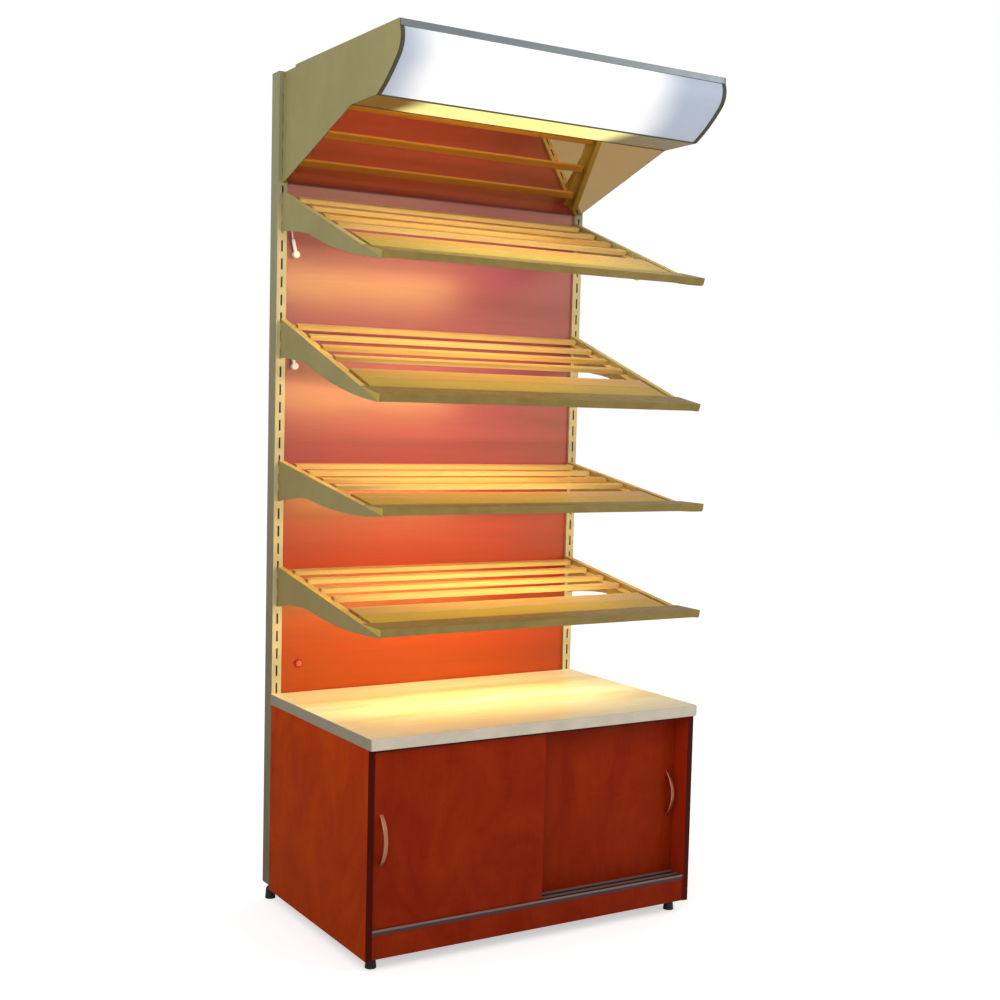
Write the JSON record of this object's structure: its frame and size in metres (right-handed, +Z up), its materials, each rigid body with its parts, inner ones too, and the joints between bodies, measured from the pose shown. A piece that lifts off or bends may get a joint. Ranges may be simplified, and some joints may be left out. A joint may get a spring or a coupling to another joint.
{
  "type": "bakery bread rack",
  "caption": "Tall bakery bread rack: lit canopy with mirror, four sloping slatted shelves with lamps on slotted uprights, and a cabinet with two sliding doors.",
  "frame": {"origin": "on the floor, in the middle of the rack's outline", "axes": "+X along the rack to the right seen from the front, +Y to the back, +Z up"},
  "size_m": [1.034, 0.746, 2.3515],
  "materials": {
    "cream_metal": "satin powder coat",
    "olive_metal": "satin powder coat",
    "white_metal": "satin powder coat",
    "aluminium": "anodised",
    "opal_acrylic": "opal, translucent",
    "dark_trim": "satin",
    "mirror_glass": "clear",
    "lamp_glass": "white coated glass tube",
    "white_plastic": "satin",
    "white_lead": "smooth sheath",
    "dark_strip": "satin",
    "red_laminate": "melamine board with a faint grain",
    "cherry_laminate": "melamine board with cherry grain",
    "steel": "zinc plated",
    "beech_laminate": "laminated board with light grain",
    "edge_band": "plastic edge band",
    "beech_slat": "clear lacquered beech",
    "copper_handle": "copper coloured",
    "black_plastic": "moulded",
    "red_plastic": "moulded"
  },
  "bodies": {
    "rack": {"back_panel": "red_laminate", "bottom_track": "aluminium", "bracket_left_1": "olive_metal", "bracket_left_2": "olive_metal", "bracket_left_3": "olive_metal", "bracket_left_4": "olive_metal", "bracket_right_1": "olive_metal", "bracket_right_2": "olive_metal", "bracket_right_3": "olive_metal", "bracket_right_4": "olive_metal", "cabinet_back": "cherry_laminate", "cabinet_floor": "cherry_laminate", "cabinet_side_left": "cherry_laminate", "cabinet_side_right": "cherry_laminate", "canopy_battens": "white_metal", "canopy_front_profile": "aluminium", "canopy_hook_plates": "olive_metal", "canopy_lamp_tray": "white_metal", "canopy_mirror": "mirror_glass", "canopy_roof": "olive_metal", "canopy_side_left": "olive_metal", "canopy_side_right": "olive_metal", "cross_rails": "cream_metal", "diffuser_trims": "dark_trim", "downlight_diffuser": "opal_acrylic", "front_diffuser": "opal_acrylic", "front_rail_1": "olive_metal", "front_rail_2": "olive_metal", "front_rail_3": "olive_metal", "front_rail_4": "olive_metal", "inner_shelf": "cherry_laminate", "lamp_leads": "white_lead", "lamp_tubes": "lamp_glass", "lampholders": "white_plastic", "lead_plugs": "white_plastic", "lead_sockets": "white_plastic", "levelling_feet": "black_plastic", "mirror_backing": "olive_metal", "plinth": "cherry_laminate", "shelf_lamp_housings": "olive_metal", "shelf_pins": "steel", "slats_1": "beech_slat", "slats_2": "beech_slat", "slats_3": "beech_slat", "slats_4": "beech_slat", "switch_housing": "red_plastic", "ticket_strips": "dark_strip", "top_track": "dark_trim", "upright_caps": "black_plastic", "upright_left": "cream_metal", "upright_right": "cream_metal", "worktop": "beech_laminate", "worktop_edge_band": "edge_band"},
    "front_door": {"front_door": "cherry_laminate", "front_door_glides": "black_plastic", "front_door_handle": "copper_handle"},
    "rear_door": {"rear_door": "cherry_laminate", "rear_door_glides": "black_plastic", "rear_door_handle": "copper_handle"},
    "switch_button": {"switch_button": "red_plastic"}
  },
  "joints": [
    {"name": "front_door_slide", "type": "slide", "parent": "rack", "child": "front_door", "axis": [1, 0, 0], "range_m": [0, 0.478]},
    {"name": "rear_door_slide", "type": "slide", "parent": "rack", "child": "rear_door", "axis": [-1, 0, 0], "range_m": [0, 0.478]},
    {"name": "switch_press", "type": "slide", "parent": "rack", "child": "switch_button", "axis": [0, 1, 0], "range_m": [0, 0.003], "stiffness_N_per_m": 300}
  ]
}
